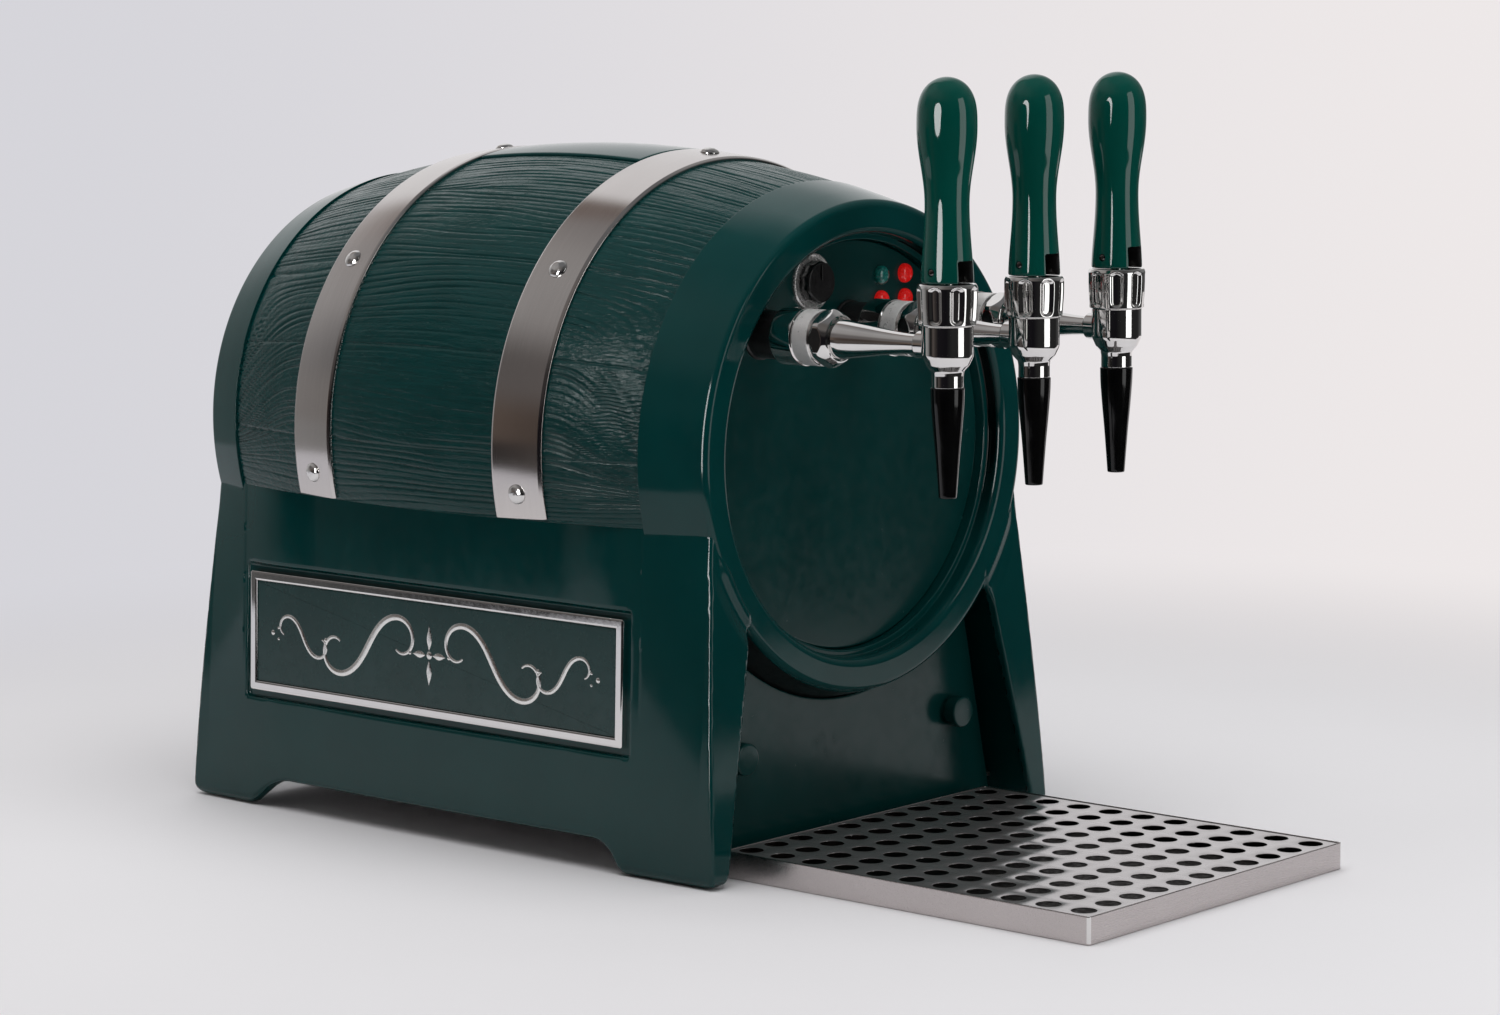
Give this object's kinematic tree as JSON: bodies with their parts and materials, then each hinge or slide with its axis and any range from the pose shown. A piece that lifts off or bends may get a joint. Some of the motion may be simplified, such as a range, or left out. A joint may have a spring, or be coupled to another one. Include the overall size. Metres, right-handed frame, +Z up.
{
  "type": "mulled wine dispenser",
  "caption": "Barrel-shaped hot drink dispenser on a splayed base: steel hoops, lever taps on shanks, thermostat knob, pilot lamps and a perforated drip tray.",
  "frame": {"origin": "on the table, under the middle of the whole object's box, drip tray included", "axes": "+Z up, taps and drip tray towards -Y, +Y along the barrel to the rear"},
  "size_m": [0.362, 0.716, 0.4768],
  "materials": {
    "housing_green": "glossy moulded shell, wood-grain relief on the staves",
    "panel_green": "semi-gloss",
    "plate_green": "semi-gloss",
    "handle_green": "high gloss",
    "chrome": "polished",
    "hoop_steel": "satin, brushed along the strap",
    "rivet_steel": "polished dome",
    "tray_steel": "brushed",
    "steel": "plain",
    "brass": "plain",
    "black_plastic": "satin black",
    "spout_black": "gloss black",
    "lens_red": "clear red",
    "lens_green": "clear blue-green",
    "silicone": "matte",
    "hose": "matte"
  },
  "bodies": {
    "body": {"housing": "housing_green", "front_panel": "panel_green", "plinth_panel": "panel_green", "plinth_knobs": "panel_green", "rear_cover": "black_plastic", "rear_plinth_panel": "panel_green", "case_screws": "steel", "front_hoop": "hoop_steel", "rear_hoop": "hoop_steel", "hoop_rivets": "rivet_steel", "side_plates": "plate_green", "plate_frames": "chrome", "thermostat_bezel": "chrome", "thermostat_body": "steel", "temperature_probe": "steel", "lamp_lens_green": "lens_green", "lamp_lenses_red": "lens_red", "lamp_holders": "black_plastic", "tap_collars": "chrome", "tap_sleeves": "black_plastic", "shank_nuts": "brass", "chassis": "steel", "tank_body": "steel", "tank_lid": "steel", "heating_coils": "steel", "heater_element": "steel", "feed_pumps": "black_plastic", "product_hoses": "hose", "inlet_fittings": "steel", "cable_gland": "black_plastic", "switch_body": "black_plastic", "tap_body_1": "chrome", "tap_bonnet_1": "chrome", "tap_spout_1": "spout_black", "tap_shank_1": "chrome", "tap_body_2": "chrome", "tap_bonnet_2": "chrome", "tap_spout_2": "spout_black", "tap_shank_2": "chrome", "tap_body_3": "chrome", "tap_bonnet_3": "chrome", "tap_spout_3": "spout_black", "tap_shank_3": "chrome"},
    "knob": {"thermostat_knob": "black_plastic"},
    "lid": {"top_lid": "housing_green"},
    "rocker": {"switch_rocker": "black_plastic"},
    "tray": {"drip_tray": "tray_steel"},
    "grid": {"drip_grid": "tray_steel"},
    "stem_1": {"valve_stem_1": "steel", "seat_cup_1": "silicone"},
    "lever_1": {"tap_handle_1": "handle_green", "lever_pin_1": "steel"},
    "stem_2": {"valve_stem_2": "steel", "seat_cup_2": "silicone"},
    "lever_2": {"tap_handle_2": "handle_green", "lever_pin_2": "steel"},
    "stem_3": {"valve_stem_3": "steel", "seat_cup_3": "silicone"},
    "lever_3": {"tap_handle_3": "handle_green", "lever_pin_3": "steel"}
  },
  "joints": [
    {"name": "tap_1_valve", "type": "slide", "parent": "body", "child": "stem_1", "axis": [0, 0, 1], "range_m": [0, 0.0099]},
    {"name": "tap_1_lever", "type": "hinge", "parent": "stem_1", "child": "lever_1", "pos_m": [-0.0818, -0.2224, 0.3658], "axis": [1, 0, 0], "range_deg": [0, 35], "stiffness_Nm_per_rad": 0.6, "springref_deg": -20.05},
    {"name": "tap_2_valve", "type": "slide", "parent": "body", "child": "stem_2", "axis": [0, 0, 1], "range_m": [0, 0.0099]},
    {"name": "tap_2_lever", "type": "hinge", "parent": "stem_2", "child": "lever_2", "pos_m": [0, -0.2224, 0.3658], "axis": [1, 0, 0], "range_deg": [0, 35], "stiffness_Nm_per_rad": 0.6, "springref_deg": -20.05},
    {"name": "tap_3_valve", "type": "slide", "parent": "body", "child": "stem_3", "axis": [0, 0, 1], "range_m": [0, 0.0099]},
    {"name": "tap_3_lever", "type": "hinge", "parent": "stem_3", "child": "lever_3", "pos_m": [0.0818, -0.2224, 0.3658], "axis": [1, 0, 0], "range_deg": [0, 35], "stiffness_Nm_per_rad": 0.6, "springref_deg": -20.05},
    {"name": "thermostat_turn", "type": "hinge", "parent": "body", "child": "knob", "pos_m": [-0.0355, -0.097, 0.3515], "axis": [0, 1, 0], "range_deg": [0, 270]},
    {"name": "mains_rocker", "type": "hinge", "parent": "body", "child": "rocker", "pos_m": [-0.06, 0.3275, 0.19], "axis": [1, 0, 0], "range_deg": [0, 18]},
    {"name": "lid_lift", "type": "slide", "parent": "body", "child": "lid", "axis": [0, 0, 1], "range_m": [0, 0.08]},
    {"name": "tray_pull", "type": "slide", "parent": "body", "child": "tray", "axis": [0, -1, 0], "range_m": [0, 0.3]},
    {"name": "grid_lift", "type": "slide", "parent": "tray", "child": "grid", "axis": [0, 0, 1], "range_m": [0, 0.038]}
  ],
  "couplings": [
    {"joint": "tap_1_valve", "follows": "tap_1_lever", "m_per_rad": 0.016},
    {"joint": "tap_2_valve", "follows": "tap_2_lever", "m_per_rad": 0.016},
    {"joint": "tap_3_valve", "follows": "tap_3_lever", "m_per_rad": 0.016}
  ]
}
